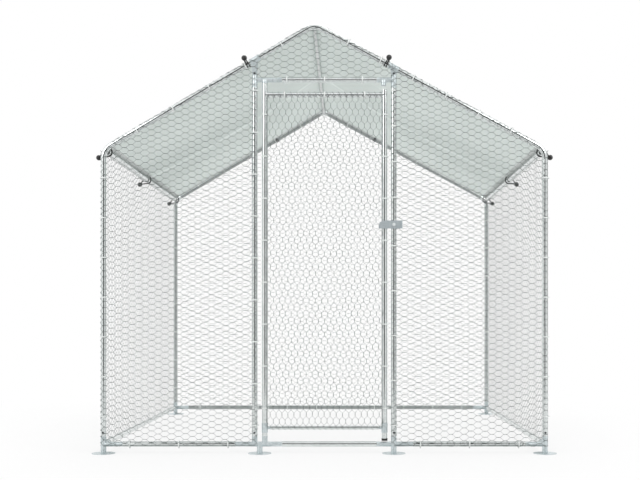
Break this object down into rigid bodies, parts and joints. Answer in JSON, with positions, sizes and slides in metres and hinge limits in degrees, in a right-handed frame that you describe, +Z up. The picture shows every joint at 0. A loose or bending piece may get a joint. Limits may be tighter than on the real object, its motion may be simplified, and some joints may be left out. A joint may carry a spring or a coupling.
{
  "type": "chicken run",
  "caption": "Walk-in chicken run: galvanised tube frame, hexagonal wire netting, a netted hinged door with a turning latch, and a gable roof sheet held by ball bungees.",
  "frame": {"origin": "on the ground, in the middle of the run's footprint", "axes": "+Z up, +Y from the door towards the back wall, +X to the right as seen from in front of the door"},
  "size_m": [2.105, 2.1118, 1.9478],
  "materials": {
    "galvanised_tube": "galvanised steel tube, soft grey, slightly mottled",
    "galvanised_fitting": "zinc plated steel fittings, a little paler and bluer than the tubes",
    "wire_netting": "galvanised steel wire",
    "latch_zinc": "zinc plated sheet steel and bolt",
    "roof_sheet": "pale grey-green woven polyethylene sheet, slightly translucent",
    "eyelet_zinc": "pressed zinc plated eyelets",
    "bungee_cord": "black covered elastic cord",
    "bungee_ball": "black moulded plastic",
    "black_cap": "black moulded plastic"
  },
  "bodies": {
    "frame": {"front_left_base": "galvanised_fitting", "front_right_base": "galvanised_fitting", "back_left_base": "galvanised_fitting", "back_right_base": "galvanised_fitting", "hinge_post_base": "galvanised_fitting", "latch_post_base": "galvanised_fitting", "front_left_eave_elbow": "galvanised_fitting", "front_right_eave_elbow": "galvanised_fitting", "back_left_eave_elbow": "galvanised_fitting", "back_right_eave_elbow": "galvanised_fitting", "front_ridge_elbow": "galvanised_fitting", "back_ridge_elbow": "galvanised_fitting", "hinge_head_connector": "galvanised_fitting", "latch_head_connector": "galvanised_fitting", "front_left_bottom_rail": "galvanised_tube", "threshold_rail": "galvanised_tube", "front_right_bottom_rail": "galvanised_tube", "left_bottom_rail": "galvanised_tube", "right_bottom_rail": "galvanised_tube", "back_bottom_rail": "galvanised_tube", "front_left_post": "galvanised_tube", "front_right_post": "galvanised_tube", "back_left_post": "galvanised_tube", "back_right_post": "galvanised_tube", "hinge_post": "galvanised_tube", "latch_post": "galvanised_tube", "front_left_rafter": "galvanised_tube", "front_right_rafter": "galvanised_tube", "back_left_rafter": "galvanised_tube", "back_right_rafter": "galvanised_tube", "lintel": "galvanised_tube", "left_eave_purlin": "galvanised_tube", "right_eave_purlin": "galvanised_tube", "ridge_purlin": "galvanised_tube", "left_net": "wire_netting", "right_net": "wire_netting", "back_net": "wire_netting", "front_left_net": "wire_netting", "front_right_net": "wire_netting", "gable_net": "wire_netting", "roof_sheet": "roof_sheet", "roof_eyelets": "eyelet_zinc", "bungee_cords": "bungee_cord", "bungee_balls": "bungee_ball", "latch_bolt": "latch_zinc", "latch_washer": "latch_zinc", "latch_nut": "latch_zinc"},
    "door": {"hinge_stile": "galvanised_tube", "latch_stile": "galvanised_tube", "door_top_rail": "galvanised_tube", "door_bottom_rail": "galvanised_tube", "door_corner_tees": "galvanised_fitting", "door_net": "wire_netting", "latch_stile_cap": "black_cap"},
    "latch": {"latch_plate": "latch_zinc"}
  },
  "joints": [
    {"name": "door_swing", "type": "hinge", "parent": "frame", "child": "door", "pos_m": [-0.269, -1, 0.8], "axis": [0, 0, 1], "range_deg": [0, 100]},
    {"name": "latch_turn", "type": "hinge", "parent": "frame", "child": "latch", "pos_m": [0.315, -1.0153, 1.036], "axis": [0, 1, 0], "range_deg": [0, 90]}
  ]
}
